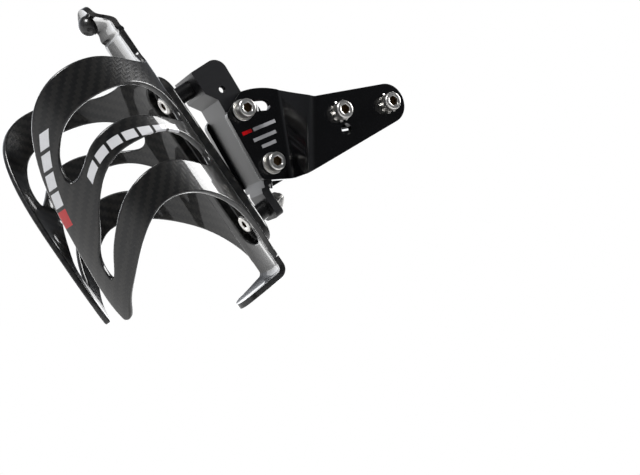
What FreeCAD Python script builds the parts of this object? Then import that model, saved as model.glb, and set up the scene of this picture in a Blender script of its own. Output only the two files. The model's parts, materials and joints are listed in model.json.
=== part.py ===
import FreeCAD, Part
import math
import os
from FreeCAD import Base, Matrix, Placement, Rotation, Vector

# Saddle bottle carrier, in millimetres and degrees
# Frame: origin midway between the two saddle rails, at the middle of their clamps
# +X is the bicycle's forward, +Y its left, +Z up
# Places below count from the tilt pivot's axis, and save() moves each piece to the frame
os.makedirs("parts", exist_ok=True)

# Bottle and cage sheet
bottle_radius = 37.0
bottle_clearance = 0.2
sheet = 2.6
spine_tilt = 51.6
screw_spacing = 64.0
strip_angle = 17.0
wing_start = -25.0
tab_start = -36.0
tab_end = -54.0
tab_step = 6.5
tab_bend_start = -42.0
tab_bend_length = 8.0
foot_start = 83.0
foot_seat = 91.0
foot_length = 24.0
foot_bend = 4.0
foot_end_radius = 7.0
knob_radius = 4.6

# Boss on the back of the spine and its recess
boss_back = 6.5
boss_radius = 9.5
boss_margin = 13.0
boss_round = 2.0
recess_wall = 2.5
recess_floor = 3.6

# Side plates
plate = 3.0
rear_inner = 11.0
pivot_to_tilt = 27.1
tilt_start = 123.1
tilt_travel = 24.0
rear_edge = 8.0
arc_margin = 8.0
bottom_edge = 7.4
bottom_slope = 9.0
shoulder_rise = 2.0
corner_radius = 3.0
rear_corner_radius = 3.0
rear_fold = ((2.0, 36.0), (10.9, -6.0))
front_fold = ((13.8, 29.3), (12.3, -5.4))
plate_low = -12.0
plate_high = 46.0
dip_point = (14.2, 29.7)
under_slope_start = 12.3
slot_margin = 1.0
fold_radius = 2.5

# Rails and their clamps
rail_radius = 3.5
rail_spacing = 44.0
rail_slope = 54.0
rail_screw_rear = (27.0, 24.0)
rail_screw_front = (52.5, 31.5)
lobe_radius = 9.4
bar_thickness = 8.0
bar_width = 15.0
bar_gap = 1.0
bar_chamfer = 0.8
spare_hole_turn = 18.0

# Carrier channel
channel_sheet = 4.0
flange = 3.0
side_clearance = 0.3
web_setback = 6.2
plate_lean = 5.3
pivot_station = 47.8
pivot_height = 22.9
tab_setback = 6.6
channel_top = -5.6
tab_joggle_start = 5.6
tab_joggle_end = 11.0
lug_joggle_start = 51.5
lug_joggle_end = 57.0
lug_setback = 8.9
lug_end = 70.0
lug_half_width = 7.0
flange_reach_top = 10.1
flange_reach_low = 6.6
flange_end = 55.0
channel_corner = 6.0
side_hole_station = 8.0
side_hole_rise = 1.8
side_hole_radius = 1.6

# Fasteners
m5_radius = 2.5
m5_head_radius = 4.25
side_head = 5.0
side_socket = 4.0
cage_head = 3.2
cage_socket = 3.0
washer_radius = 5.0
washer_sheet = 1.0
star_sheet = 0.6
star_root_radius = 3.8
star_tip_radius = 4.9
star_teeth = 9
spacer_radius = 4.1
nut_flats = 8.0
nut_height = 3.6
insert_height = 1.4
insert_radius = 3.2
collar_radius = 3.7
screw_end = 1.5
running_clearance = 0.08
hole_clearance = 0.15
washer_gap = 0.3
head_chamfer = 0.4

# Derived places
sheet_inner = bottle_radius + bottle_clearance
sheet_outer = sheet_inner + sheet
strip_half = sheet_outer * math.sin(math.radians(strip_angle))
tab_height = pivot_height - tab_setback
lug_height = pivot_height - lug_setback
channel_front = pivot_height + flange_reach_top
flange_front_low = pivot_height + flange_reach_low
side_hole_height = pivot_height + side_hole_rise
rear_outer = rear_inner + plate
rail_y = rail_spacing / 2
rail_inner = rail_y + rail_radius
rail_outer = rail_inner + plate
channel_half = rear_inner - side_clearance
washer_seat = rear_outer + washer_gap
side_head_seat = washer_seat + washer_sheet
star_seat = rail_outer + star_sheet
bar_outer = rail_inner - bar_gap
bar_inner = bar_outer - bar_thickness
clamp_x = (rail_screw_rear[0] + rail_screw_front[0]) / 2
clamp_z = (rail_screw_rear[1] + rail_screw_front[1]) / 2


def box_between(low, high):
    size = [b - a for a, b in zip(low, high)]
    return Part.makeBox(size[0], size[1], size[2], Vector(*low))


def save(name, shape):
    placed = Part.makeCompound(shape) if isinstance(shape, list) else shape.copy()
    placed.translate(Vector(-clamp_x, 0, -clamp_z))
    placed.exportStep("parts/" + name + ".step")


def mirrored(shape):
    return shape.mirror(Vector(0, 0, 0), Vector(0, 1, 0))


# The spine's frame: X down the spine, Y across, Z from the bottle to the spine
turn = Rotation(Vector(0, 1, 0), spine_tilt)
spine_origin = turn.multVec(Vector(-pivot_station, 0, -pivot_height))
spine_frame = Placement(spine_origin, turn)


def on_spine(shape):
    placed = shape.copy()
    placed.Placement = spine_frame.multiply(placed.Placement)
    return placed


# Outlines unrolled from the bottle's cylinder, as (angle from the spine, station)
top_edge = [(strip_angle, wing_start), (24, -20.5), (40, -19.5), (58, -23.5), (76, -29.5), (94, -32), (110, -30.7),
            (127, -24), (140, -11.5), (150, 6), (156, 26), (160.5, 45), (161.5, 58), (159.5, 64)]
low_edge = [(159.5, 64), (155.5, 64.6), (149, 60.5), (136, 52), (120, 42.3), (107, 36), (95, 33),
            (82, 34), (66, 39.5), (50, 48.5), (36, 58.5), (25, 69), (18.5, 78), (strip_angle, foot_start)]
upper_window = [(35, 3), (44, -4.5), (60, -12), (78, -15.7), (98, -16.5), (115, -13.5), (127, -6.5),
                (132.5, 1), (131.5, 6.2), (125, 5.2), (112, -1), (97, -4), (82, -3), (66, 1.5),
                (50, 7.5), (38, 8.5)]
lower_window = [(37, 25), (45, 18.5), (56, 12.3), (70, 8.3), (86, 6.7), (102, 7.2), (115, 11.8),
                (127, 20), (139, 31), (148, 41.5), (147.5, 46.5), (139, 40.5), (127, 31), (113, 23),
                (98, 19), (84, 18.7), (68, 22.3), (52, 29.5), (40, 31)]

wrap = Placement(Matrix(0, 0, 1, 0, 0, 1, 0, 0, -1, 0, 0, -sheet_inner, 0, 0, 0, 1))


def cylinder_surface(radius):
    surface = Part.Cylinder()
    surface.Radius = radius
    return surface


def wrapped_curve(points, side, surface, closed=False):
    middle = (sheet_inner + sheet_outer) / 2
    flat = [Base.Vector2d(middle * math.radians(180 + side * a), s) for a, s in points]
    curve = Part.Geom2d.BSplineCurve2d()
    curve.interpolate(flat, PeriodicFlag=closed)
    for i, pole in enumerate(curve.getPoles()):
        curve.setPole(i + 1, Base.Vector2d(pole.x / middle, pole.y))
    return curve.toShape(surface)


def straight_curve(start, end, surface):
    ends = [Base.Vector2d(math.radians(180 + a), s) for a, s in (start, end)]
    return Part.Geom2d.Line2dSegment(ends[0], ends[1]).toShape(surface)


def wrapped_sheet(edges, thickness):
    face = Part.Face(Part.Wire(edges))
    face.validate()
    solid = face.makeOffsetShape(thickness, 0.0001, fill=True)
    solid.Placement = wrap.multiply(solid.Placement)
    return solid


# Cage: one sheet around the bottle, with two windows in each wing
def cage_sheet():
    inner = cylinder_surface(sheet_inner)
    near, far = strip_angle, -strip_angle
    edges = [straight_curve((far, tab_start), (near, tab_start), inner)]
    edges.append(straight_curve((near, tab_start), (near, wing_start), inner))
    edges.append(wrapped_curve(top_edge, 1, inner))
    edges.append(wrapped_curve(low_edge, 1, inner))
    edges.append(straight_curve((near, foot_start), (far, foot_start), inner))
    edges.append(wrapped_curve(low_edge, -1, inner))
    edges.append(wrapped_curve(top_edge, -1, inner))
    edges.append(straight_curve((far, wing_start), (far, tab_start), inner))
    solid = wrapped_sheet(edges, sheet)
    within = cylinder_surface(sheet_inner - 1)
    for side in (-1, 1):
        for window in (upper_window, lower_window):
            cutter = wrapped_sheet([wrapped_curve(window, side, within, closed=True)], sheet + 2)
            solid = solid.cut(cutter)
    return solid


# A strip of the same curved section, swept along a path in the spine's plane
def strip_section(station):
    points = []
    for radius, angle in ((sheet_inner, -1), (sheet_inner, 0), (sheet_inner, 1), (sheet_outer, 1),
                          (sheet_outer, 0), (sheet_outer, -1)):
        a = math.radians(angle * strip_angle)
        points.append(Vector(station, radius * math.sin(a), radius * math.cos(a) - sheet_inner))
    inner = Part.Arc(points[0], points[1], points[2]).toShape()
    outer = Part.Arc(points[3], points[4], points[5]).toShape()
    sides = [Part.makeLine(points[2], points[3]), Part.makeLine(points[5], points[0])]
    return Part.Wire([inner, sides[0], outer, sides[1]])


def swept_strip(path, station):
    shell = Part.BRepOffsetAPI.MakePipeShell(path)
    shell.setBiNormalMode(Vector(0, 1, 0))
    shell.add(strip_section(station))
    shell.build()
    shell.makeSolid()
    return shell.shape()


# The tab steps towards the bottle along a smooth rise, and ends in a knob for the bottle's groove
def tab_drop(station):
    share = (tab_bend_start - station) / tab_bend_length
    share = min(max(share, 0), 1)
    return tab_step * share * share * (3 - 2 * share)


def tab():
    sections = []
    count = 9
    for i in range(count + 1):
        station = tab_start + (tab_end - 1 - tab_start) * i / count
        section = strip_section(station)
        section.translate(Vector(0, 0, -tab_drop(station)))
        sections.append(section)
    strip = Part.makeLoft(sections, True, False)
    end_radius = strip_half - 3
    outline = rounded_outline(tab_start + 1, tab_end, strip_half + 1, end_radius)
    strip = strip.common(prism(outline, Vector(0, 0, -20), Vector(0, 0, 40)))
    knob = Part.makeSphere(knob_radius, Vector(tab_end + end_radius - 1, 0, -tab_step - 0.4))
    above = box_between((tab_end - 5, -20, sheet / 2 - tab_step), (tab_start, 20, 20))
    return strip.fuse(knob.cut(above))


# A tongue in plan: straight sides that narrow to a round end
def rounded_outline(start, end, half, end_radius):
    way = 1 if end > start else -1
    centre = end - way * end_radius
    tip = Vector(end, 0, 0)
    shoulders = [Vector(centre, side * end_radius, 0) for side in (-1, 1)]
    arc = Part.Arc(shoulders[0], tip, shoulders[1]).toShape()
    corners = [Vector(start, side * half, 0) for side in (-1, 1)]
    return Part.Wire([Part.makeLine(corners[0], shoulders[0]), arc, Part.makeLine(shoulders[1], corners[1]),
                      Part.makeLine(corners[1], corners[0])])


def prism(wire, offset, height):
    face = Part.Face(wire)
    face.translate(offset)
    return face.extrude(height)


def foot():
    bend_at = foot_seat - foot_bend
    arc_mid = Vector(bend_at + foot_bend * math.sin(math.pi / 4), 0, -foot_bend * (1 - math.cos(math.pi / 4)))
    turn_in = Part.makeLine(Vector(foot_start, 0, 0), Vector(bend_at, 0, 0))
    bend = Part.Arc(Vector(bend_at, 0, 0), arc_mid, Vector(foot_seat, 0, -foot_bend)).toShape()
    lip = Part.makeLine(Vector(foot_seat, 0, -foot_bend), Vector(foot_seat, 0, -foot_length))
    strip = swept_strip(Part.Wire([turn_in, bend, lip]), foot_start)
    outline = rounded_outline(0, foot_length, strip_half + 0.5, foot_end_radius)
    tongue = prism(outline, Vector(0, 0, 0), Vector(0, 0, foot_length))
    tongue.rotate(Vector(0, 0, 0), Vector(0, 1, 0), 90)
    tongue.translate(Vector(foot_start, 0, 0))
    above = box_between((foot_start, -sheet_outer, 0), (foot_start + foot_length, sheet_outer, sheet_outer))
    return strip.common(tongue.fuse(above))


def stadium(start, end, radius):
    ends = [Vector(start, 0, 0), Vector(end, 0, 0)]
    lines = []
    for side in (-1, 1):
        lines.append(Part.makeLine(ends[0] + Vector(0, side * radius, 0), ends[1] + Vector(0, side * radius, 0)))
    left = Part.Arc(ends[0] + Vector(0, -radius, 0), ends[0] + Vector(-radius, 0, 0), ends[0] + Vector(0, radius, 0))
    right = Part.Arc(ends[1] + Vector(0, -radius, 0), ends[1] + Vector(radius, 0, 0), ends[1] + Vector(0, radius, 0))
    return Part.Wire([lines[0], right.toShape(), lines[1], left.toShape()])


def boss():
    reach = boss_margin - boss_radius
    outline = stadium(-reach, screw_spacing + reach, boss_radius)
    solid = prism(outline, Vector(0, 0, 0.2), Vector(0, 0, boss_back - 0.2))
    rim = [e for e in solid.Edges if e.BoundBox.ZMin > boss_back - 0.01]
    return solid.makeFillet(boss_round, rim)


def cage_cuts():
    reach = boss_margin - boss_radius
    outline = stadium(-reach, screw_spacing + reach, boss_radius - recess_wall)
    cuts = [prism(outline, Vector(0, 0, -5), Vector(0, 0, 5 + recess_floor))]
    for station in (0, screw_spacing):
        cuts.append(hole_along_n(station, m5_radius + hole_clearance, -5, boss_back + 5))
    return cuts


def hole_along_n(station, radius, low, high):
    return Part.makeCylinder(radius, high - low, Vector(station, 0, low), Vector(0, 0, 1))


def bottle_cage():
    solid = cage_sheet()
    solid = solid.fuse([tab(), foot(), boss()])
    for cut in cage_cuts():
        solid = solid.cut(cut)
    return solid.removeSplitter()


# Points moved sideways from a line by a constant distance, with mitred corners
def offset_line(points, distance, axis):
    shifted = []
    for i, point in enumerate(points):
        before = points[i] - points[i - 1] if i else points[1] - points[0]
        after = points[i + 1] - point if i + 1 < len(points) else point - points[i - 1]
        before.normalize()
        after.normalize()
        middle = (before + after).normalize()
        shifted.append(point + axis.cross(middle) * (distance / middle.dot(before)))
    return shifted


def closed_line(points):
    return Part.makePolygon(points + points[:1])


# Carrier channel: a web with two side flanges, joggled to a tab above and a lug below
def web_height(station):
    lean = math.radians(plate_lean)
    return pivot_height - web_setback / math.cos(lean) + (pivot_station - station) * math.tan(lean)


def channel_web():
    rear = [(channel_top, tab_height), (tab_joggle_start, tab_height),
            (tab_joggle_end, web_height(tab_joggle_end)), (lug_joggle_start, web_height(lug_joggle_start)),
            (lug_joggle_end, lug_height), (lug_end, lug_height)]
    line = [Vector(s, -channel_half, n) for s, n in rear]
    front = offset_line(line, channel_sheet, Vector(0, -1, 0))
    web = prism(closed_line(line + front[::-1]), Vector(0, 0, 0), Vector(0, 2 * channel_half, 0))
    for side in (-1, 1):
        low, high = sorted((side * lug_half_width, side * (channel_half + 1)))
        web = web.cut(box_between((flange_end, low, 0), (lug_end + 1, high, 40)))
    corners = [e for e in web.Edges if along(e, 2) and e.BoundBox.XMin > lug_end - 0.01]
    return web.makeFillet(channel_sheet * 0.7, corners)


def along(edge, axis):
    box = edge.BoundBox
    lengths = [box.XLength, box.YLength, box.ZLength]
    return all(length < 0.01 for i, length in enumerate(lengths) if i != axis)


def channel_flange(side):
    low = side * (channel_half - flange) if side > 0 else -channel_half
    outline = [(channel_top, tab_height), (tab_joggle_start, tab_height),
               (tab_joggle_end, web_height(tab_joggle_end)), (lug_joggle_start, web_height(lug_joggle_start)),
               (flange_end, web_height(lug_joggle_start) + channel_sheet), (flange_end, flange_front_low),
               (channel_top, channel_front)]
    solid = prism(closed_line([Vector(s, low, n) for s, n in outline]), Vector(0, 0, 0), Vector(0, flange, 0))
    corners = [e for e in solid.Edges if along(e, 1) and e.BoundBox.ZMin > flange_front_low - 0.01]
    return solid.makeFillet(channel_corner, corners)


def across(radius, x, z, half):
    return Part.makeCylinder(radius, 2 * half, Vector(x, -half, z), Vector(0, 1, 0))


def carrier_channel():
    solid = channel_web().fuse([channel_flange(-1), channel_flange(1)])
    for station in (0, screw_spacing):
        solid = solid.cut(hole_along_n(station, m5_radius + hole_clearance, 0, 40))
    solid = solid.cut(across(side_hole_radius, side_hole_station, side_hole_height, 20))
    solid = on_spine(solid)
    for x, z in ((0, 0), tilt_screw_place()):
        for low in (-channel_half, channel_half - flange):
            solid = solid.cut(Part.makeCylinder(m5_radius, flange, Vector(x, low, z), Vector(0, 1, 0)))
    return solid.removeSplitter()


def tilt_screw_place():
    angle = math.radians(tilt_start)
    return pivot_to_tilt * math.cos(angle), pivot_to_tilt * math.sin(angle)


# Side plates: a sheet folded twice, trimmed to its outline
def fold_at(fold, z):
    (x0, z0), (x1, z1) = fold
    return x0 + (x1 - x0) * (z - z0) / (z1 - z0)


def folded_sheet():
    wires = []
    for z in (plate_low, plate_high):
        inner_fold, outer_fold = fold_at(rear_fold, z), fold_at(front_fold, z)
        line = [(-60, rear_outer), (inner_fold, rear_outer), (outer_fold, rail_outer), (90, rail_outer)]
        outer = [Vector(x, -y, z) for x, y in line]
        inner = offset_line(outer, plate, Vector(0, 0, 1))
        wires.append(closed_line(outer + inner[::-1]))
    solid = Part.makeLoft(wires, True, True)
    for wide in (False, True):
        radius = fold_radius + plate if wide else fold_radius
        solid = solid.makeFillet(radius, fold_edges(solid, wide))
    return solid


# The folds' edges on their tight side, or on their wide side
def fold_edges(solid, wide):
    found = []
    for edge in solid.Edges:
        box = edge.BoundBox
        upright = box.ZLength > plate_high - plate_low - 1 and -50 < box.XMin < 80
        rear_fold_side = box.YMax > -rear_outer - 0.01
        inner_face = abs(box.YMax + rear_inner) < 0.5 or abs(box.YMax + rail_inner) < 0.5
        if upright and (rear_fold_side == inner_face) == wide:
            found.append(edge)
    return found


def tangent_point(point, centre, radius, side):
    gap = centre - point
    reach = gap.Length
    angle = math.atan2(gap.z, gap.x) + side * math.asin(radius / reach)
    length = math.sqrt(reach ** 2 - radius ** 2)
    return point + Vector(math.cos(angle), 0, math.sin(angle)) * length


def polar(radius, degrees):
    angle = math.radians(degrees)
    return Vector(radius * math.cos(angle), 0, radius * math.sin(angle))


def plate_outline():
    up = polar(1, tilt_start)
    back = polar(rear_edge, tilt_start + 90)
    low, along_bottom = polar(bottom_edge, bottom_slope - 90), polar(1, bottom_slope)
    foot_point = back + up * ((low - back).dot(low) / up.dot(low))
    shoulder = back + up * (pivot_to_tilt + shoulder_rise)
    arc_radius = pivot_to_tilt + arc_margin
    arc_start, arc_mid, arc_end = [polar(arc_radius, a) for a in (117, 102, 87)]
    dip = Vector(dip_point[0], 0, dip_point[1])
    under = low + along_bottom * ((under_slope_start - low.x) / along_bottom.x)
    lobe = Vector(rail_screw_front[0], 0, rail_screw_front[1])
    over_lobe = tangent_point(dip, lobe, lobe_radius, 1)
    under_lobe = tangent_point(under, lobe, lobe_radius, -1)
    nose = lobe + Vector(lobe).normalize() * lobe_radius
    edges = [Part.makeLine(foot_point, shoulder), Part.makeLine(shoulder, arc_start)]
    edges.append(Part.Arc(arc_start, arc_mid, arc_end).toShape())
    edges.append(Part.makeLine(arc_end, dip))
    edges.append(Part.makeLine(dip, over_lobe))
    edges.append(Part.Arc(over_lobe, nose, under_lobe).toShape())
    edges.append(Part.makeLine(under_lobe, under))
    edges.append(Part.makeLine(under, foot_point))
    blank = prism(Part.Wire(edges), Vector(0, -60, 0), Vector(0, 60, 0))
    for corner, radius in ((foot_point, rear_corner_radius), (shoulder, corner_radius), (dip, fold_radius)):
        near = [e for e in blank.Edges if along(e, 1) and e.Vertexes[0].Point.sub(corner).dot(Vector(1, 0, 0)) ** 2
                + (e.Vertexes[0].Point.z - corner.z) ** 2 < 0.01]
        blank = blank.makeFillet(radius, near)
    return blank


def arc_slot():
    radius = m5_radius + running_clearance
    first, last = tilt_start + slot_margin, tilt_start - tilt_travel - slot_margin
    middle = (first + last) / 2
    rims = []
    for reach in (pivot_to_tilt + radius, pivot_to_tilt - radius):
        rims.append(Part.Arc(*[polar(reach, a) for a in (first, middle, last)]).toShape())
    ends = []
    for angle, way in ((first, 90), (last, -90)):
        centre = polar(pivot_to_tilt, angle)
        tip = centre + polar(radius, angle + way)
        ends.append(Part.Arc(polar(pivot_to_tilt + radius, angle), tip, polar(pivot_to_tilt - radius, angle)).toShape())
    wire = Part.Wire([rims[0], ends[1], rims[1], ends[0]])
    return prism(wire, Vector(0, -60, 0), Vector(0, 60, 0))


def spare_hole_place():
    gap = Vector(rail_screw_rear[0] - rail_screw_front[0], 0, rail_screw_rear[1] - rail_screw_front[1])
    turned = Rotation(Vector(0, 1, 0), -spare_hole_turn).multVec(gap)
    return rail_screw_front[0] + turned.x, rail_screw_front[1] + turned.z


def right_side_plate():
    solid = folded_sheet().common(plate_outline())
    solid = solid.cut(across(m5_radius + running_clearance, 0, 0, 60))
    solid = solid.cut(arc_slot())
    for x, z in (rail_screw_rear, rail_screw_front, spare_hole_place()):
        solid = solid.cut(across(m5_radius + hole_clearance, x, z, 60))
    return solid


# Clamp bars: a round-ended bar across the rail, with a half-round groove
def rail_direction():
    angle = math.radians(rail_slope)
    return Vector(math.cos(angle), 0, -math.sin(angle))


def right_clamp_bar():
    rear, front = rail_screw_rear, rail_screw_front
    run = math.hypot(front[0] - rear[0], front[1] - rear[1])
    rise = math.degrees(math.atan2(front[1] - rear[1], front[0] - rear[0]))
    bar = prism(stadium(-run / 2, run / 2, bar_width / 2), Vector(0, 0, 0), Vector(0, 0, bar_thickness))
    rims = [e for e in bar.Edges if not along(e, 2)]
    bar = bar.makeChamfer(bar_chamfer, rims)
    upright = Rotation(Vector(1, 0, 0), 90)
    centre = Vector(clamp_x, -rail_y, clamp_z)
    tilted = Rotation(Vector(0, 1, 0), -rise).multiply(upright)
    bar.Placement = Placement(Vector(centre.x, -bar_inner, centre.z), tilted)
    reach = rail_direction() * bar_width
    bar = bar.cut(Part.makeCylinder(rail_radius, 2 * bar_width, centre - reach, rail_direction()))
    mouth = box_between((-bar_width, -rail_radius, -rail_radius), (bar_width, 0, rail_radius))
    mouth.Placement = Placement(centre, Rotation(Vector(0, 1, 0), rail_slope))
    bar = bar.cut(mouth)
    for x, z in (rear, front):
        bar = bar.cut(across(m5_radius, x, z, 60))
    return bar


# Fasteners, each along +Z with its head below Z 0
def hexagon(flats, height, base):
    corner = flats / math.sqrt(3)
    angles = [math.radians(30 + 60 * i) for i in range(6)]
    points = [Vector(corner * math.cos(a), corner * math.sin(a), base) for a in angles]
    return Part.Face(closed_line(points)).extrude(Vector(0, 0, height))


def socket_screw(head_radius, head, radius, length, flats):
    cap = Part.makeCylinder(head_radius, head, Vector(0, 0, -head))
    rim = [e for e in cap.Edges if e.BoundBox.ZMax < -head + 0.01]
    cap = cap.makeChamfer(head_chamfer, rim)
    screw = cap.fuse(Part.makeCylinder(radius, length))
    return screw.cut(hexagon(flats, head * 0.6, -head))


def washer(outer, inner, thickness):
    return Part.makeCylinder(outer, thickness).cut(Part.makeCylinder(inner, thickness))


def toothed_washer():
    points = []
    for i in range(star_teeth):
        for share, radius in ((0, star_root_radius), (0.3, star_root_radius), (0.45, star_tip_radius),
                              (0.85, star_tip_radius)):
            angle = 2 * math.pi * (i + share) / star_teeth
            points.append(Vector(radius * math.cos(angle), radius * math.sin(angle), 0))
    blank = Part.Face(closed_line(points)).extrude(Vector(0, 0, star_sheet))
    return blank.cut(Part.makeCylinder(m5_radius + hole_clearance, star_sheet))


def lock_nut():
    top = Vector(0, 0, nut_height)
    nut = hexagon(nut_flats, nut_height, 0).fuse(Part.makeCylinder(collar_radius, insert_height, top))
    nut = nut.cut(Part.makeCylinder(insert_radius, insert_height, top))
    return nut.cut(Part.makeCylinder(m5_radius, nut_height))


# A fastener from the right side pointing inwards, its seat at a given distance from the middle
def from_right(shape, x, seat, z):
    placed = shape.copy()
    placed.Placement = Placement(Vector(x, -seat, z), Rotation(Vector(1, 0, 0), -90))
    return placed


def along_n(shape, station, seat):
    placed = shape.copy()
    placed.Placement = Placement(Vector(station, 0, seat), Rotation())
    return on_spine(placed)


# Both sides
side_screw = socket_screw(m5_head_radius, side_head, m5_radius, side_head_seat - channel_half + flange, side_socket)
rail_screw = socket_screw(m5_head_radius, side_head, m5_radius, star_seat - bar_inner, side_socket)
plain_washer = washer(washer_radius, m5_radius + hole_clearance, washer_sheet)
star = toothed_washer()
rail_places = (rail_screw_rear, rail_screw_front)
tilt_x, tilt_z = tilt_screw_place()
right_parts = {
    "side_plate": right_side_plate(),
    "clamp_bar": right_clamp_bar(),
    "rail_screws": [from_right(rail_screw, x, star_seat, z) for x, z in rail_places],
    "rail_lock_washers": [from_right(star, x, star_seat, z) for x, z in rail_places],
    "pivot_screw": from_right(side_screw, 0, side_head_seat, 0),
    "tilt_screw": from_right(side_screw, tilt_x, side_head_seat, tilt_z),
    "pivot_washer": from_right(plain_washer, 0, side_head_seat, 0),
    "tilt_washer": from_right(plain_washer, tilt_x, side_head_seat, tilt_z),
}
for name, shape in right_parts.items():
    save("right_" + name, shape)
    left = [mirrored(s) for s in shape] if isinstance(shape, list) else mirrored(shape)
    save("left_" + name, left)

# Middle pieces
save("bottle_cage", on_spine(bottle_cage()))
save("carrier_channel", carrier_channel())
for name, station, seat in (("upper", 0, tab_height), ("lower", screw_spacing, lug_height)):
    spacer = washer(spacer_radius, m5_radius + hole_clearance, seat - boss_back)
    nut_seat = seat + channel_sheet
    insert = washer(insert_radius, m5_radius, insert_height)
    reach = nut_seat + nut_height + insert_height + screw_end - recess_floor
    cage_screw = socket_screw(m5_head_radius, cage_head, m5_radius, reach, cage_socket)
    save(name + "_spacer", along_n(spacer, station, boss_back))
    save(name + "_cage_screw", along_n(cage_screw, station, recess_floor))
    save(name + "_nut", along_n(lock_nut(), station, nut_seat))
    save(name + "_nut_insert", along_n(insert, station, nut_seat + nut_height))
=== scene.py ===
# %% [markdown]
# # Saddle bottle carrier
# A wrapped carbon cage holds the bottle. It hangs on a tilting channel between two folded plates.
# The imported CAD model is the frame: every node keeps its place, and gets its look here.

# %% Load the frame
import bmesh
import bpy
import json
import math
from mathutils import Matrix, Vector

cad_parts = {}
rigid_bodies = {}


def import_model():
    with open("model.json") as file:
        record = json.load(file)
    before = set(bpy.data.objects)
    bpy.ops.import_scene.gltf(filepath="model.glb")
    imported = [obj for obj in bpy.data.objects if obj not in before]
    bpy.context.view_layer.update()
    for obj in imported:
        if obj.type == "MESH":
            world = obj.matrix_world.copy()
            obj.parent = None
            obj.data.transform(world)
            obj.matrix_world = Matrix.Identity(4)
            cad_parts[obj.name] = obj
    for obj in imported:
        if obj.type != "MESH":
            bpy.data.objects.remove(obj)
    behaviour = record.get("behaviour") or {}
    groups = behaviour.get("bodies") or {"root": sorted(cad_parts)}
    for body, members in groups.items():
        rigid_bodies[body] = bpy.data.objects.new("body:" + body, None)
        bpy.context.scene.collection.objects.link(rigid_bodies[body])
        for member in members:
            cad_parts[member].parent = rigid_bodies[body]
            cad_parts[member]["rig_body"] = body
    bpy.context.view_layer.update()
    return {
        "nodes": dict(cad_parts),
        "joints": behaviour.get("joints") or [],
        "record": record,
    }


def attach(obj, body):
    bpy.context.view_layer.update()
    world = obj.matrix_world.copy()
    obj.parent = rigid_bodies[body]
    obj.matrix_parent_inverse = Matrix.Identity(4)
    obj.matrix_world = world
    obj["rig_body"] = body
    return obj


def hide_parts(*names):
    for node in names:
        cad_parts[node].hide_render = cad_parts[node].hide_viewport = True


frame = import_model()
nodes = frame["nodes"]
MM = 0.001

# %% [markdown]
# Driving sizes in millimetres and degrees. Those of the solids are the same as in the CAD source.

# %% Sizes
SPINE_TILT = 51.6
BOTTLE_RADIUS = 38.5
PIVOT_STATION = 47.8
PIVOT_HEIGHT = 22.9
SHEET_INNER = 37.2
THREAD_RADIUS = 2.5
THREAD_ROOT = THREAD_RADIUS - 0.22
THREAD_PITCH = 0.8
HOLE_RADIUS = 2.65
SIDE_SCREW = {"radius": 4.25, "head": 5.0, "flats": 4.0}
CAGE_SCREW = {"radius": 4.25, "head": 3.2, "flats": 3.0}
PLAIN_WASHER = {"radius": 5.0, "sheet": 1.0}
TOOTHED_WASHER = {"root": 3.9, "tip": 4.9, "sheet": 0.6, "teeth": 9, "twist": 28}
LOCK_NUT = {"flats": 8.0, "height": 3.6, "collar": 3.7, "insert_radius": 3.2, "insert": 1.4}
PLATE_FACE = 14.0
WING_FROM, WING_TO = -34.0, 82.0
TOW_WIDTH = 1.5
RIM_ROUND = 0.8
RIM_STEPS = 3
SHARP_ANGLE = 35
WELD = 0.1
EDGE_GLINT = 0.3
THREADED_END = 4.0
THREAD_RIDGE = 0.24
KNURL_RIDGES = 44
WHITE, RED, PRINT_GREY, LOWER_GREY = "e4e4e6", "c00810", "b9b9bb", "a9a9ab"

tilt = math.radians(SPINE_TILT)
spine_down = Vector((math.cos(tilt), 0, -math.sin(tilt)))
spine_back = Vector((math.sin(tilt), 0, math.cos(tilt)))
inward = {"right": Vector((0, 1, 0)), "left": Vector((0, -1, 0))}
pivot = Vector(frame["joints"][0]["pos_m"])
pivot_down, pivot_back = pivot.dot(spine_down) / MM, pivot.dot(spine_back) / MM
bottle_axis = PIVOT_HEIGHT + SHEET_INNER
print("tilt pivot at", tuple(round(v, 4) for v in pivot))

# %% [markdown]
# Colours are read as hex codes, but shaders count in linear light, so one helper turns them.
# Another adds a node and links it in one call, which keeps each finish readable as a short list.

# %% Helpers for materials
def linear(hex_code):
    channels = [int(hex_code[i:i + 2], 16) / 255 for i in (0, 2, 4)]
    return [c / 12.92 if c <= 0.04045 else ((c + 0.055) / 1.055) ** 2.4 for c in channels] + [1.0]


def add(tree, kind, inputs=None, **settings):
    node = tree.nodes.new(kind)
    for key, value in settings.items():
        setattr(node, key, value)
    for key, value in (inputs or {}).items():
        if isinstance(value, bpy.types.NodeSocket):
            tree.links.new(value, node.inputs[key])
        else:
            node.inputs[key].default_value = value
    return node


def number(tree, operation, *values):
    return add(tree, "ShaderNodeMath", dict(enumerate(values)), operation=operation).outputs[0]


def material(name, colour, roughness, metallic=0.0, ior=1.5):
    made = bpy.data.materials.new(name)
    made.use_nodes = True
    shader = made.node_tree.nodes["Principled BSDF"]
    shader.inputs["Base Color"].default_value = linear(colour)
    shader.inputs["Roughness"].default_value = roughness
    shader.inputs["Metallic"].default_value = metallic
    if metallic < 0.5:
        shader.inputs["IOR"].default_value = ior
    return made, made.node_tree, shader


def millimetres(tree, scale=1.0):
    place = add(tree, "ShaderNodeTexCoord").outputs["Object"]
    size = scale / MM
    return add(tree, "ShaderNodeMapping", {"Vector": place, "Scale": (size, size, size)}).outputs[0]


print("helpers ready")

# %% [markdown]
# The plates and the channel are anodised sheet metal, and the screws are stainless steel.
# One flat roughness would look like plastic, so fine noise varies it. The shader's bevel makes the
# edges catch light, which costs no mesh, where a modelled bevel would add faces to every hole.

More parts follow.
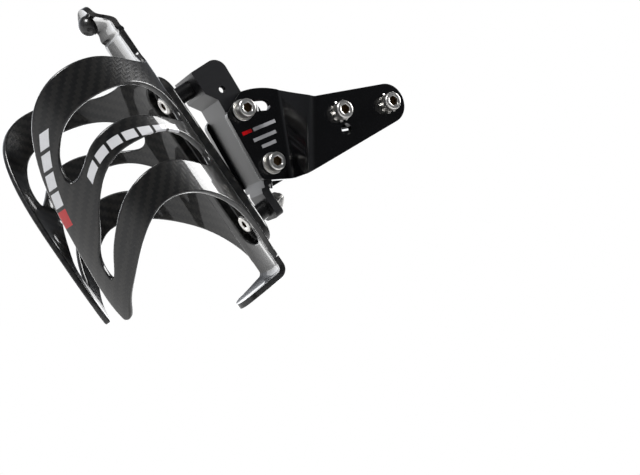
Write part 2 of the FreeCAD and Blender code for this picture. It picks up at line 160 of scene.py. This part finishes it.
# %% Metals and nylon
def metal(name, colour, roughness, spread, metallic, grain, edge):
    made, tree, shader = material(name, colour, roughness, metallic)
    noise = add(tree, "ShaderNodeTexNoise", {"Vector": millimetres(tree), "Scale": grain, "Detail": 3.0})
    rough = add(tree, "ShaderNodeMapRange", {"Value": noise.outputs["Fac"], "To Min": roughness - spread,
                                             "To Max": roughness + spread})
    tree.links.new(rough.outputs[0], shader.inputs["Roughness"])
    round_edge = add(tree, "ShaderNodeBevel", {"Radius": edge * MM}, samples=6)
    bump = add(tree, "ShaderNodeBump", {"Height": noise.outputs["Fac"], "Strength": 0.05,
                                        "Distance": 0.02 * MM, "Normal": round_edge.outputs[0]})
    tree.links.new(bump.outputs[0], shader.inputs["Normal"])
    return made, tree, shader


black = metal("black anodised aluminium", "030304", 0.16, 0.04, 0.0, 6.0, 0.3)[0]
grey = metal("satin anodised aluminium", "1c1c1e", 0.4, 0.05, 0.0, 4.0, 0.35)[0]
turned = metal("black anodised turned aluminium", "0a0a0b", 0.28, 0.05, 0.0, 3.0, 0.2)[0]
steel = metal("stainless steel", "e2e0dc", 0.3, 0.08, 1.0, 5.0, 0.12)[0]
# The faces inside the sockets take a darker brown steel colour.
socket = metal("stainless steel, darker brown in the sockets", "6e5c45", 0.5, 0.1, 1.0, 3.0, 0.05)[0]
nylon = material("nylon", "17171c", 0.55, ior=1.53)[0]
print("metals ready")

# %% [markdown]
# The cage is woven carbon under a clear coat. The weave could be drawn in flat coordinates, but on
# a wrapped sheet it would stretch. So the laminate unrolls from the bottle: arc length across,
# station along the spine. A two-by-two twill decides which tow lies on top, and each tow is a low
# round ridge. The coat has normals of its own and stays smooth over the weave.

# %% Carbon laminate
carbon, tree, shader = material("carbon fibre laminate with clear coat", "08090b", 0.38)
axis_place = (PIVOT_STATION - pivot_down, 0, bottle_axis - pivot_back)
local = add(tree, "ShaderNodeMapping",
            {"Vector": add(tree, "ShaderNodeTexCoord").outputs["Object"], "Location": axis_place,
             "Rotation": (0, -tilt, 0), "Scale": (1 / MM, 1 / MM, 1 / MM)})
part = add(tree, "ShaderNodeSeparateXYZ", {"Vector": local.outputs[0]})
station = part.outputs["X"]
turn = number(tree, "ARCTAN2", part.outputs["Y"], part.outputs["Z"])
across = number(tree, "DIVIDE", number(tree, "MULTIPLY", turn, BOTTLE_RADIUS), TOW_WIDTH)
along = number(tree, "DIVIDE", station, TOW_WIDTH)
column, row = number(tree, "FLOOR", across), number(tree, "FLOOR", along)
step = number(tree, "FLOORED_MODULO", number(tree, "ADD", column, row), 4.0)
warp = number(tree, "LESS_THAN", step, 2.0)


def ridge(tree, value):
    inside = number(tree, "SUBTRACT", number(tree, "FRACT", value), 0.5)
    square = number(tree, "MULTIPLY", inside, inside)
    return number(tree, "SUBTRACT", 1.0, number(tree, "MULTIPLY", square, 4.0))


def within(tree, value, low, high):
    above, below = number(tree, "GREATER_THAN", value, low), number(tree, "LESS_THAN", value, high)
    return number(tree, "MULTIPLY", above, below)


def painted(tree, under, mask, colour):
    coat = add(tree, "ShaderNodeMix", {0: mask, 6: under, 7: linear(colour)}, data_type="RGBA")
    return coat.outputs[2]


height = add(tree, "ShaderNodeMix", {"Factor": warp, "A": ridge(tree, along), "B": ridge(tree, across)})
edges = add(tree, "ShaderNodeBevel", {"Radius": EDGE_GLINT * MM}, samples=6)
weave = add(tree, "ShaderNodeBump", {"Height": height.outputs[0], "Strength": 0.25, "Distance": 0.12 * MM,
                                     "Normal": edges.outputs[0]})
# The tows of one direction get a lighter brownish colour: a painted sheen that stands in for the glint
# along these fibres.
tow_sheen = add(tree, "ShaderNodeMix", {0: warp, 6: linear("0b0b0b"), 7: linear("1e1d1b")}, data_type="RGBA")
print("laminate has", len(tree.nodes), "shader nodes")

# %% [markdown]
# Plain lacquer blocks lie on the outside: a white row along each middle arm and on each front band,
# which ends in a red block. Thin solids would stand proud of the sheet, so the blocks are masks in
# the same unrolled coordinates, and both rows follow smooth curves there.

# %% Lacquer blocks
ARM_ROW = {"low": 2.2, "middle": 98.0, "rise": 0.0097, "lean": 0.000114,
           "half": 1.9, "start": 54.0, "end": 124.0, "blocks": 7}
BAND_ROW = {"angle": 143.0, "middle": 3.0, "slope": 0.62, "bend": -0.011,
            "half": 2.2, "start": -16.0, "end": 13.0, "blocks": 4, "red_end": 20.0}
BLOCK_SHARE = 0.8


def polynomial(tree, value, *factors):
    total = factors[-1]
    for factor in factors[-2::-1]:
        total = number(tree, "ADD", number(tree, "MULTIPLY", total, value), factor)
    return total


def blocks(tree, place, offset, row):
    share = number(tree, "MULTIPLY", number(tree, "SUBTRACT", place, row["start"]),
                   row["blocks"] / (row["end"] - row["start"]))
    filled = number(tree, "LESS_THAN", number(tree, "FRACT", share), BLOCK_SHARE)
    length = number(tree, "MULTIPLY", filled, within(tree, place, row["start"], row["end"]))
    return number(tree, "MULTIPLY", length, within(tree, offset, -row["half"], row["half"]))


angle = number(tree, "MULTIPLY", number(tree, "ABSOLUTE", turn), math.degrees(1))
past = number(tree, "SUBTRACT", angle, ARM_ROW["middle"])
arm_line = polynomial(tree, past, ARM_ROW["low"], 0.0, ARM_ROW["rise"], ARM_ROW["lean"])
arm_mask = blocks(tree, angle, number(tree, "SUBTRACT", station, arm_line), ARM_ROW)
along_band = number(tree, "SUBTRACT", station, BAND_ROW["middle"])
band_line = polynomial(tree, along_band, BAND_ROW["angle"], BAND_ROW["slope"], BAND_ROW["bend"])
sideways = number(tree, "MULTIPLY", number(tree, "SUBTRACT", angle, band_line), math.radians(BOTTLE_RADIUS))
band_mask = blocks(tree, station, sideways, BAND_ROW)
red_mask = number(tree, "MULTIPLY", within(tree, station, BAND_ROW["end"], BAND_ROW["red_end"]),
                  within(tree, sideways, -BAND_ROW["half"], BAND_ROW["half"]))
distance = number(tree, "SQRT", number(tree, "ADD", number(tree, "POWER", part.outputs["Y"], 2.0),
                                       number(tree, "POWER", part.outputs["Z"], 2.0)))
outside = number(tree, "GREATER_THAN", distance, BOTTLE_RADIUS)
shade = tow_sheen.outputs[2]
lacquer = 0.0
for mask, colour in ((arm_mask, WHITE), (band_mask, WHITE), (red_mask, RED)):
    mask = number(tree, "MULTIPLY", mask, outside)
    shade = painted(tree, shade, mask, colour)
    lacquer = number(tree, "MAXIMUM", mask, lacquer)
bare = number(tree, "SUBTRACT", 1.0, lacquer)
tree.links.new(shade, shader.inputs["Base Color"])
tree.links.new(weave.outputs[0], shader.inputs["Normal"])
tree.links.new(edges.outputs[0], shader.inputs["Coat Normal"])
tree.links.new(number(tree, "MULTIPLY", bare, 0.3), shader.inputs["Metallic"])
shader.inputs["Coat Weight"].default_value = 1.0
shader.inputs["Coat Roughness"].default_value = 0.04
print("lacquer blocks:", ARM_ROW["blocks"], "on an arm,", BAND_ROW["blocks"], "on a band")

# %% [markdown]
# The side plates carry three plain printed bars where a label would be, the first with a red end.
# Print has no thickness, so each bar is a mask on the plates' outer faces alone.

# %% Printed bars on the side plates
PRINT = {"x": -6.6, "z": 16.0, "rise": 27.3, "half_length": 9.0, "half_height": 0.8, "red_part": 5.0}
LOWER_BARS = [{"drop": 4.6, "shift": 1.0, "half_length": 6.2},
              {"drop": 8.6, "shift": 1.3, "half_length": 3.9}]
printed, tree, shader = metal("black anodised aluminium with print", "030304", 0.16, 0.04, 0.0, 6.0, 0.3)
turned_print = math.radians(PRINT["rise"])
middle = (pivot.x / MM + PRINT["x"], 0, pivot.z / MM + PRINT["z"])
flat = add(tree, "ShaderNodeMapping", {"Vector": millimetres(tree), "Location": middle,
                                       "Rotation": (0, -turned_print, 0)}, vector_type="TEXTURE")
spot = add(tree, "ShaderNodeSeparateXYZ", {"Vector": flat.outputs[0]})
face = number(tree, "GREATER_THAN", number(tree, "ABSOLUTE", spot.outputs["Y"]), PLATE_FACE - 0.1)
face = number(tree, "MULTIPLY", face, number(tree, "LESS_THAN", number(tree, "ABSOLUTE", spot.outputs["Y"]),
                                             PLATE_FACE + 0.1))
shade = tuple(linear("050506"))


def printed_bar(under, low, high, drop, half_height, colour):
    length = within(tree, spot.outputs["X"], low, high)
    tall = within(tree, spot.outputs["Z"], -drop - half_height, -drop + half_height)
    mask = number(tree, "MULTIPLY", face, number(tree, "MULTIPLY", length, tall))
    return painted(tree, under, mask, colour)


red_end = PRINT["red_part"] - PRINT["half_length"]
shade = printed_bar(shade, -PRINT["half_length"], red_end, 0.0, PRINT["half_height"], RED)
shade = printed_bar(shade, red_end + 0.8, PRINT["half_length"], 0.0, PRINT["half_height"], PRINT_GREY)
for each in LOWER_BARS:
    low, high = each["shift"] - each["half_length"], each["shift"] + each["half_length"]
    shade = printed_bar(shade, low, high, each["drop"], PRINT["half_height"], LOWER_GREY)
tree.links.new(shade, shader.inputs["Base Color"])
print("printed bars on the plates' outer faces")

# %% [markdown]
# Every CAD node takes the material of its slot. The record names the slots, so the list of nodes
# isn't written again here.

# %% Materials on the CAD nodes
slots = {"carbon_laminate": carbon, "black_anodised": black, "grey_anodised": grey,
         "spacer_black": turned, "stainless_steel": steel, "insert_nylon": nylon}
for entry in frame["record"]["subparts"]:
    mesh = nodes[entry["node"]].data
    mesh.materials.clear()
    mesh.materials.append(printed if "side_plate" in entry["node"] else slots[entry["material_slot"]])
print("materials on", len(nodes), "nodes")

# %% [markdown]
# The cut edges of the wings are rounded by sanding and lacquer. A shader bevel leaves the outline
# sharp, so the mesh gets a real one. On the bends of the tab and the foot a bevel makes faulty
# faces, so both are left out. Faces that stay as they were keep the frame's shading normals.

# %% Rounded laminate
def show(name, mesh, body, slot, *stands_for):
    piece = bpy.data.objects.new(name, mesh)
    bpy.context.scene.collection.objects.link(piece)
    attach(piece, body)
    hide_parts(*stands_for)
    return piece


def applied(piece):
    graph = bpy.context.evaluated_depsgraph_get()
    mesh = bpy.data.meshes.new_from_object(piece.evaluated_get(graph))
    bpy.data.objects.remove(piece)
    return mesh


def on_wings(vertices):
    stations = [v.co.dot(spine_down) / MM - pivot_down + PIVOT_STATION for v in vertices]
    return min(stations) > WING_FROM and max(stations) < WING_TO


def hundredths(point):
    return tuple(round(c / MM, 2) for c in point)


def corners(mesh):
    for face in mesh.polygons:
        middle = hundredths(face.center)
        for corner in face.loop_indices:
            place = mesh.vertices[mesh.loops[corner].vertex_index].co
            yield (middle, hundredths(place)), mesh.corner_normals[corner].vector.copy()


def keep_normals(mesh, source):
    known = dict(corners(source))
    mesh.normals_split_custom_set([known.get(key, normal) for key, normal in corners(mesh)])


def rounded(node):
    form = bmesh.new()
    form.from_mesh(nodes[node].data)
    bmesh.ops.remove_doubles(form, verts=form.verts, dist=0.001 * MM)
    bmesh.ops.remove_doubles(form, verts=[v for v in form.verts if on_wings([v])], dist=WELD * MM)
    on_wing = [v for v in form.verts if on_wings([v])]
    between = [e for e in form.edges if on_wings(e.verts)]
    bmesh.ops.dissolve_limit(form, angle_limit=math.radians(1), verts=on_wing, edges=between)
    limit = math.radians(SHARP_ANGLE)
    sharp = [e for e in form.edges if e.calc_face_angle(0) > limit and on_wings(e.verts)]
    bmesh.ops.bevel(form, geom=sharp, offset=RIM_ROUND * MM, segments=RIM_STEPS, profile=0.5,
                    affect="EDGES", clamp_overlap=False)
    bmesh.ops.triangulate(form, faces=form.faces)
    mesh = bpy.data.meshes.new(node + "_rounded")
    form.to_mesh(mesh)
    form.free()
    mesh.shade_smooth()
    mesh.set_sharp_from_angle(angle=limit)
    draft = bpy.data.objects.new("draft", mesh)
    bpy.context.scene.collection.objects.link(draft)
    weighted = draft.modifiers.new("weighted normals", "WEIGHTED_NORMAL")
    weighted.weight = 80
    weighted.keep_sharp = True
    mesh = applied(draft)
    keep_normals(mesh, nodes[node].data)
    return mesh


cage_mesh = rounded("bottle_cage")
cage_mesh.materials.clear()
cage_mesh.materials.append(carbon)
show("bottle_cage_laminate", cage_mesh, "carrier", "carbon_laminate", "bottle_cage")
print("laminate mesh has", len(cage_mesh.polygons), "triangles")

# %% [markdown]
# Screws, washers and nuts are turned pieces, so each is a stack of rings, a circle or a hexagon at
# some depth. A screw modifier turns out circles only, and the sockets and nuts need hexagons.

# %% Turned forms
def ring_points(depth, radius, flats, count):
    points = []
    for i in range(count):
        angle = 2 * math.pi * i / count
        reach = radius
        if flats:
            from_flat = (angle + math.pi / 6) % (math.pi / 3) - math.pi / 6
            reach = min(radius, flats / 2 / math.cos(from_flat))
        points.append((reach * math.cos(angle) * MM, reach * math.sin(angle) * MM, depth * MM))
    return points


def turned_form(name, rings, look, hollow=False, count=72):
    points, faces, looks = [], [], []
    for ring in rings:
        points += ring_points(ring["depth"], ring["radius"], ring.get("flats"), count)
    for level in range(len(rings) if hollow else len(rings) - 1):
        above = (level + 1) % len(rings)
        for i in range(count):
            j = (i + 1) % count
            faces.append((level * count + i, level * count + j, above * count + j, above * count + i))
            looks.append(rings[level].get("look", 0))
    if not hollow:
        faces.append(tuple(range(count - 1, -1, -1)))
        faces.append(tuple(range((len(rings) - 1) * count, len(rings) * count)))
        looks += [rings[0].get("look", 0), 0]
    mesh = bpy.data.meshes.new(name)
    mesh.from_pydata(points, [], faces)
    for each in look:
        mesh.materials.append(each)
    mesh.polygons.foreach_set("material_index", looks)
    mesh.shade_smooth()
    mesh.set_sharp_from_angle(angle=math.radians(40))
    return mesh


def socket_head(size):
    radius, head, flats = size["radius"], size["head"], size["flats"]
    floor = 0.6 * head
    return [{"depth": floor, "radius": 0.3, "look": 1},
            {"depth": floor, "radius": flats, "flats": flats, "look": 1},
            {"depth": 0.3, "radius": flats, "flats": flats},
            {"depth": 0.0, "radius": flats / math.sqrt(3) + 0.3},
            {"depth": 0.0, "radius": radius - 0.75},
            {"depth": 0.15, "radius": radius - 0.35},
            {"depth": 0.5, "radius": radius - 0.15},
            {"depth": head - 0.2, "radius": radius - 0.15},
            {"depth": head, "radius": radius - 0.3}]


print("turned forms ready")

# %% [markdown]
# Knurls and washer teeth repeat round a circle. An array modifier would need a helper object to
# turn about, so one Geometry Nodes group puts an item on the points of a circle for both.

# %% Repeat round a circle
def new_group(name, inputs):
    group = bpy.data.node_groups.new(name, "GeometryNodeTree")
    group.interface.new_socket("Geometry", in_out="OUTPUT", socket_type="NodeSocketGeometry")
    for label, kind in inputs.items():
        group.interface.new_socket(label, in_out="INPUT", socket_type="NodeSocket" + kind)
    return group, group.nodes.new("NodeGroupInput").outputs


def finish_group(group, given, geometry):
    real = add(group, "GeometryNodeRealizeInstances", {"Geometry": geometry})
    dressed = add(group, "GeometryNodeSetMaterial",
                  {"Geometry": real.outputs[0], "Material": given["Material"]})
    result = group.nodes.new("NodeGroupOutput")
    group.links.new(dressed.outputs[0], result.inputs[0])
    return group


def from_group(name, group, values):
    holder = bpy.data.objects.new(name, bpy.data.meshes.new(name))
    bpy.context.scene.collection.objects.link(holder)
    modifier = holder.modifiers.new(name, "NODES")
    modifier.node_group = group
    for socket_item in group.interface.items_tree:
        if socket_item.name in values:
            modifier[socket_item.identifier] = values[socket_item.name]
    return applied(holder)


def around_group():
    group, given = new_group("repeat round a circle", {"Item": "Object", "Count": "Int", "Radius": "Float",
                                                       "Material": "Material"})
    circle = add(group, "GeometryNodeMeshCircle", {"Vertices": given["Count"], "Radius": given["Radius"]})
    place = add(group, "GeometryNodeInputPosition")
    face_out = add(group, "FunctionNodeAlignRotationToVector", {"Vector": place.outputs[0]}, axis="X",
                   pivot_axis="Z")
    item = add(group, "GeometryNodeObjectInfo", {"Object": given["Item"]})
    repeat = add(group, "GeometryNodeInstanceOnPoints",
                 {"Points": circle.outputs[0], "Instance": item.outputs["Geometry"],
                  "Rotation": face_out.outputs[0]})
    return finish_group(group, given, repeat.outputs[0])


around = around_group()


def repeated(name, item_mesh, count, radius, look):
    item = bpy.data.objects.new("item", item_mesh)
    bpy.context.scene.collection.objects.link(item)
    mesh = from_group(name, around, {"Item": item, "Count": count, "Radius": radius * MM, "Material": look})
    bpy.data.objects.remove(item)
    return mesh


def bar(name, size, centre):
    form = bmesh.new()
    bmesh.ops.create_cube(form, size=1)
    bmesh.ops.scale(form, vec=[s * MM for s in size], verts=form.verts)
    bmesh.ops.translate(form, vec=[c * MM for c in centre], verts=form.verts)
    mesh = bpy.data.meshes.new(name)
    form.to_mesh(mesh)
    form.free()
    return mesh


def joined(name, meshes, places):
    form = bmesh.new()
    looks = []
    for mesh in meshes:
        for each in mesh.materials:
            if each not in looks:
                looks.append(each)
    for place in places:
        for mesh in meshes:
            copy = mesh.copy()
            copy.transform(place)
            index = [looks.index(each) for each in mesh.materials]
            copy.polygons.foreach_set("material_index", [index[p.material_index] for p in copy.polygons])
            form.from_mesh(copy)
            bpy.data.meshes.remove(copy)
    whole = bpy.data.meshes.new(name)
    form.to_mesh(whole)
    form.free()
    for each in looks:
        whole.materials.append(each)
    return whole


print("repeat group ready")

# %% [markdown]
# Each fastener's place is read from its CAD node: the flat end furthest against its direction.
# Typed places would be left behind when the frame changes.

# %% Places from the frame
def islands(node):
    form = bmesh.new()
    form.from_mesh(nodes[node].data)
    bmesh.ops.remove_doubles(form, verts=form.verts, dist=0.001 * MM)
    left, groups = set(form.verts), []
    while left:
        group, queue = [], [left.pop()]
        while queue:
            vertex = queue.pop()
            group.append(vertex.co.copy())
            for edge in vertex.link_edges:
                other = edge.other_vert(vertex)
                if other in left:
                    left.discard(other)
                    queue.append(other)
        groups.append(group)
    form.free()
    return groups


def end_places(node, direction):
    places = []
    for group in islands(node):
        lowest = min(point.dot(direction) for point in group)
        rim = [p for p in group if p.dot(direction) < lowest + 0.01 * MM]
        centre = sum(rim, Vector()) / len(rim)
        first = spine_down if direction == spine_back else Vector((1, 0, 0))
        axes = Matrix((first, direction.cross(first), direction)).transposed()
        places.append(Matrix.Translation(centre) @ axes.to_4x4())
    return places


print("upper tilt screw starts at", tuple(end_places("right_tilt_screw", inward["right"])[0].translation))

# %% [markdown]
# The side and rail screws have a turned head with a hexagon socket and a knurled rim, and the shank
# behind. Their threads sit in the channel's flanges and the clamp bars, so the shanks stay plain.

# %% Socket screws
def screw_meshes(size, shank_end, shank_radius=THREAD_RADIUS):
    rings = socket_head(size)
    rings += [{"depth": size["head"], "radius": shank_radius},
              {"depth": shank_end - 0.3, "radius": shank_radius},
              {"depth": shank_end, "radius": shank_radius - 0.3},
              {"depth": shank_end, "radius": 0.3}]
    head = turned_form("socket screw", rings, [steel, socket])
    knurl = bar("knurl", (0.14, 0.22, size["head"] - 0.9), (0, 0, size["head"] / 2 + 0.15))
    ridges = repeated("knurled rim", knurl, KNURL_RIDGES, size["radius"] - 0.09, steel)
    return [head, ridges]


def span(node, direction):
    reach = [v.co.dot(direction) / MM for v in nodes[node].data.vertices]
    return max(reach) - min(reach)


for side, direction in inward.items():
    for name in ("pivot_screw", "tilt_screw", "rail_screws"):
        node = side + "_" + name
        meshes = screw_meshes(SIDE_SCREW, span(node, direction))
        whole = joined(node, meshes, end_places(node, direction))
        show(node + "_detail", whole, nodes[node]["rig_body"], "stainless_steel", node)
print("side and rail screws ready")

# %% [markdown]
# The cage screws' ends show behind the nuts, so they get a rolled thread. It is a Geometry Nodes
# spiral with a small round section, with its pitch, length and ridge as inputs.

# %% Cage screws with threads
def thread_group():
    group, given = new_group("rolled thread", {"Radius": "Float", "Turns": "Float", "Length": "Float",
                                               "Ridge": "Float", "Material": "Material"})
    spiral = add(group, "GeometryNodeCurveSpiral",
                 {"Resolution": 32, "Rotations": given["Turns"], "Start Radius": given["Radius"],
                  "End Radius": given["Radius"], "Height": given["Length"]})
    section = add(group, "GeometryNodeCurvePrimitiveCircle", {"Resolution": 8, "Radius": given["Ridge"]})
    swept = add(group, "GeometryNodeCurveToMesh",
                {"Curve": spiral.outputs[0], "Profile Curve": section.outputs[0], "Fill Caps": True})
    return finish_group(group, given, swept.outputs[0])


thread = thread_group()
for name in ("upper_cage_screw", "lower_cage_screw"):
    end = span(name, spine_back)
    meshes = screw_meshes(CAGE_SCREW, end, THREAD_ROOT)
    values = {"Radius": (THREAD_RADIUS - THREAD_RIDGE) * MM, "Turns": THREADED_END / THREAD_PITCH,
              "Length": THREADED_END * MM, "Ridge": THREAD_RIDGE * MM, "Material": steel}
    ridge_mesh = from_group("rolled thread", thread, values)
    ridge_mesh.transform(Matrix.Translation((0, 0, (end - THREADED_END - 0.3) * MM)))
    ridge_mesh.shade_smooth()
    whole = joined(name, meshes + [ridge_mesh], end_places(name, spine_back))
    show(name + "_detail", whole, "carrier", "stainless_steel", name)
print("thread ridge has", len(ridge_mesh.polygons), "faces")

# %% [markdown]
# The side screws sit on plain washers with broken edges, and the rail screws on toothed lock
# washers. Their teeth are twisted out of the sheet, so each is a small bar turned about its reach.

# %% Washers
def flat_ring(name, inner, outer, sheet, edge):
    rings = [{"depth": 0.0, "radius": inner + edge}, {"depth": 0.0, "radius": outer - edge},
             {"depth": edge, "radius": outer}, {"depth": sheet - edge, "radius": outer},
             {"depth": sheet, "radius": outer - edge}, {"depth": sheet, "radius": inner + edge},
             {"depth": sheet - edge, "radius": inner}, {"depth": edge, "radius": inner}]
    return turned_form(name, rings, [steel], hollow=True)


def toothed_washer():
    size = TOOTHED_WASHER
    sheet, reach = size["sheet"], size["tip"] - size["root"] + 0.3
    ring = flat_ring("toothed washer ring", HOLE_RADIUS, size["root"], sheet, 0.1)
    tooth = bar("tooth", (reach, 1.3, 0.8 * sheet), (0, 0, 0))
    tooth.transform(Matrix.Rotation(math.radians(size["twist"]), 4, "X"))
    tooth.transform(Matrix.Translation((0, 0, sheet / 2 * MM)))
    teeth = repeated("washer teeth", tooth, size["teeth"], size["tip"] - reach / 2, steel)
    return [ring, teeth]


for side, direction in inward.items():
    for name in ("pivot_washer", "tilt_washer"):
        node = side + "_" + name
        ring = flat_ring("plain washer", HOLE_RADIUS, PLAIN_WASHER["radius"], PLAIN_WASHER["sheet"], 0.15)
        whole = joined(node, [ring], end_places(node, direction))
        show(node + "_detail", whole, nodes[node]["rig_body"], "stainless_steel", node)
    node = side + "_rail_lock_washers"
    whole = joined(node, toothed_washer(), end_places(node, direction))
    show(node + "_detail", whole, nodes[node]["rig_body"], "stainless_steel", node)
print("washers ready")

# %% [markdown]
# The lock nuts have a hexagon with broken corners and a crimped collar, which holds the nylon ring.
# They are one hollow stack of rings, so the bore goes right through.

# %% Lock nuts
def lock_nut():
    size = LOCK_NUT
    corner, broken = size["flats"] / math.sqrt(3), size["flats"] / 2 + 0.1
    flats, top = size["flats"], size["height"]
    collar, crimp = size["collar"], size["height"] + size["insert"]
    rings = [{"depth": 0.0, "radius": THREAD_RADIUS}, {"depth": 0.0, "radius": broken, "flats": flats},
             {"depth": 0.35, "radius": corner, "flats": flats},
             {"depth": top - 0.45, "radius": corner, "flats": flats},
             {"depth": top, "radius": broken - 0.2, "flats": flats}, {"depth": top, "radius": collar},
             {"depth": crimp - 0.5, "radius": collar}, {"depth": crimp - 0.1, "radius": collar - 0.35},
             {"depth": crimp, "radius": collar - 0.5}, {"depth": crimp, "radius": size["insert_radius"]},
             {"depth": top, "radius": size["insert_radius"]}, {"depth": top, "radius": THREAD_RADIUS}]
    return turned_form("lock nut", rings, [steel], hollow=True)


for name in ("upper_nut", "lower_nut"):
    show(name + "_detail", joined(name, [lock_nut()], end_places(name, spine_back)), "carrier",
         "stainless_steel", name)
print("lock nuts ready")

# %% [markdown]
# The carrier hangs in the air, so the floor lies well below it. The photo's backdrop is white and
# bright behind the object, and glossy black shows mostly what it mirrors. So the far side of the
# room is bright and the near side dim, and the floor's far side is bright in mirrored rays.

# %% Floor and light
floor_level = -0.45
floor_mesh = bpy.data.meshes.new("floor")
corners = [(-4, -4), (4, -4), (4, 4), (-4, 4)]
floor_mesh.from_pydata([(x, y, floor_level) for x, y in corners], [], [(0, 1, 2, 3)])
floor = bpy.data.objects.new("floor", floor_mesh)
bpy.context.scene.collection.objects.link(floor)
pale, tree, shader = material("pale studio floor", "dedede", 0.8)
rays = add(tree, "ShaderNodeLightPath")
bright = add(tree, "ShaderNodeEmission", {"Color": (1, 1, 1, 1), "Strength": 1.0})
place = add(tree, "ShaderNodeTexCoord").outputs["Object"]
depth = add(tree, "ShaderNodeSeparateXYZ", {"Vector": place}).outputs["Y"]
far_side = add(tree, "ShaderNodeMapRange", {"Value": depth, "From Min": -0.5, "From Max": 0.2},
               interpolation_type="SMOOTHSTEP").outputs[0]
mirrored = number(tree, "ADD", rays.outputs["Is Glossy Ray"], rays.outputs["Is Transmission Ray"])
shown = number(tree, "ADD", rays.outputs["Is Camera Ray"], number(tree, "MULTIPLY", mirrored, far_side))
choice = add(tree, "ShaderNodeMixShader", {0: shown, 1: shader.outputs[0], 2: bright.outputs[0]})
tree.links.new(choice.outputs[0], tree.nodes["Material Output"].inputs["Surface"])
floor_mesh.materials.append(pale)

world = bpy.data.worlds.new("studio")
bpy.context.scene.world = world
world.use_nodes = True
tree = world.node_tree
tree.nodes.clear()
rays = add(tree, "ShaderNodeLightPath")
toward = add(tree, "ShaderNodeTexCoord").outputs["Generated"]


def bright_side(tree, direction, start, full, strength):
    facing = add(tree, "ShaderNodeVectorMath", {0: toward, 1: Vector(direction).normalized()},
                 operation="DOT_PRODUCT")
    return add(tree, "ShaderNodeMapRange",
               {"Value": facing.outputs["Value"], "From Min": start, "From Max": full,
                "To Min": 0.0, "To Max": strength},
               interpolation_type="SMOOTHSTEP").outputs[0]


backdrop = bright_side(tree, (-0.35, 0.8, -0.3), 0.25, 0.85, 1.0)
left_wall = bright_side(tree, (-0.9, -0.3, -0.5), 0.45, 0.95, 0.3)
level = number(tree, "ADD", number(tree, "MAXIMUM", backdrop, left_wall), 0.1)
room = add(tree, "ShaderNodeBackground", {"Color": linear("eef2fa"), "Strength": level})
white = add(tree, "ShaderNodeBackground", {"Color": (1, 1, 1, 1), "Strength": 1.0})
mix = add(tree, "ShaderNodeMixShader",
          {0: rays.outputs["Is Camera Ray"], 1: room.outputs[0], 2: white.outputs[0]})
add(tree, "ShaderNodeOutputWorld", {"Surface": mix.outputs[0]})


def softbox(name, place, aim, size, power):
    light = bpy.data.lights.new(name, "AREA")
    light.shape = "RECTANGLE"
    light.size, light.size_y = size
    light.energy = power
    lamp = bpy.data.objects.new(name, light)
    bpy.context.scene.collection.objects.link(lamp)
    lamp.visible_camera = False
    lamp.location = place
    lamp.rotation_mode = "QUATERNION"
    lamp.rotation_quaternion = (Vector(aim) - Vector(place)).to_track_quat("-Z", "Y")
    return lamp


softbox("key", (-0.8, -0.65, 0.8), (-0.05, 0, 0), (0.5, 0.5), 14)
softbox("side", (0.95, -0.25, 0.55), (0, 0, 0), (0.5, 0.5), 10)
softbox("back", (0.1, 1.5, 0.05), (0, 0, 0), (3.0, 1.2), 20)
print("stage ready")

# %% [markdown]
# The camera looks up a little, from below and behind on the right side, as in the photo. Its place
# counts from the tilt pivot, so it follows the frame.

# %% Camera
LENS_FROM_PIVOT = Vector((-0.1856, -0.4158, -0.1026))
heading, rise = math.radians(27.6), math.radians(8.84)
aim = Vector((math.sin(heading) * math.cos(rise), math.cos(heading) * math.cos(rise), math.sin(rise)))
camera_data = bpy.data.cameras.new("camera")
camera = bpy.data.objects.new("camera", camera_data)
bpy.context.scene.collection.objects.link(camera)
bpy.context.scene.camera = camera
camera_data.sensor_width = 36
camera_data.lens = 56.35
camera_data.clip_start, camera_data.clip_end = 0.01, 50
camera.location = pivot + LENS_FROM_PIVOT
camera.rotation_mode = "QUATERNION"
camera.rotation_quaternion = aim.to_track_quat("-Z", "Y")
bpy.context.scene.view_settings.view_transform = "Standard"
print("camera looks along", tuple(round(v, 3) for v in aim))
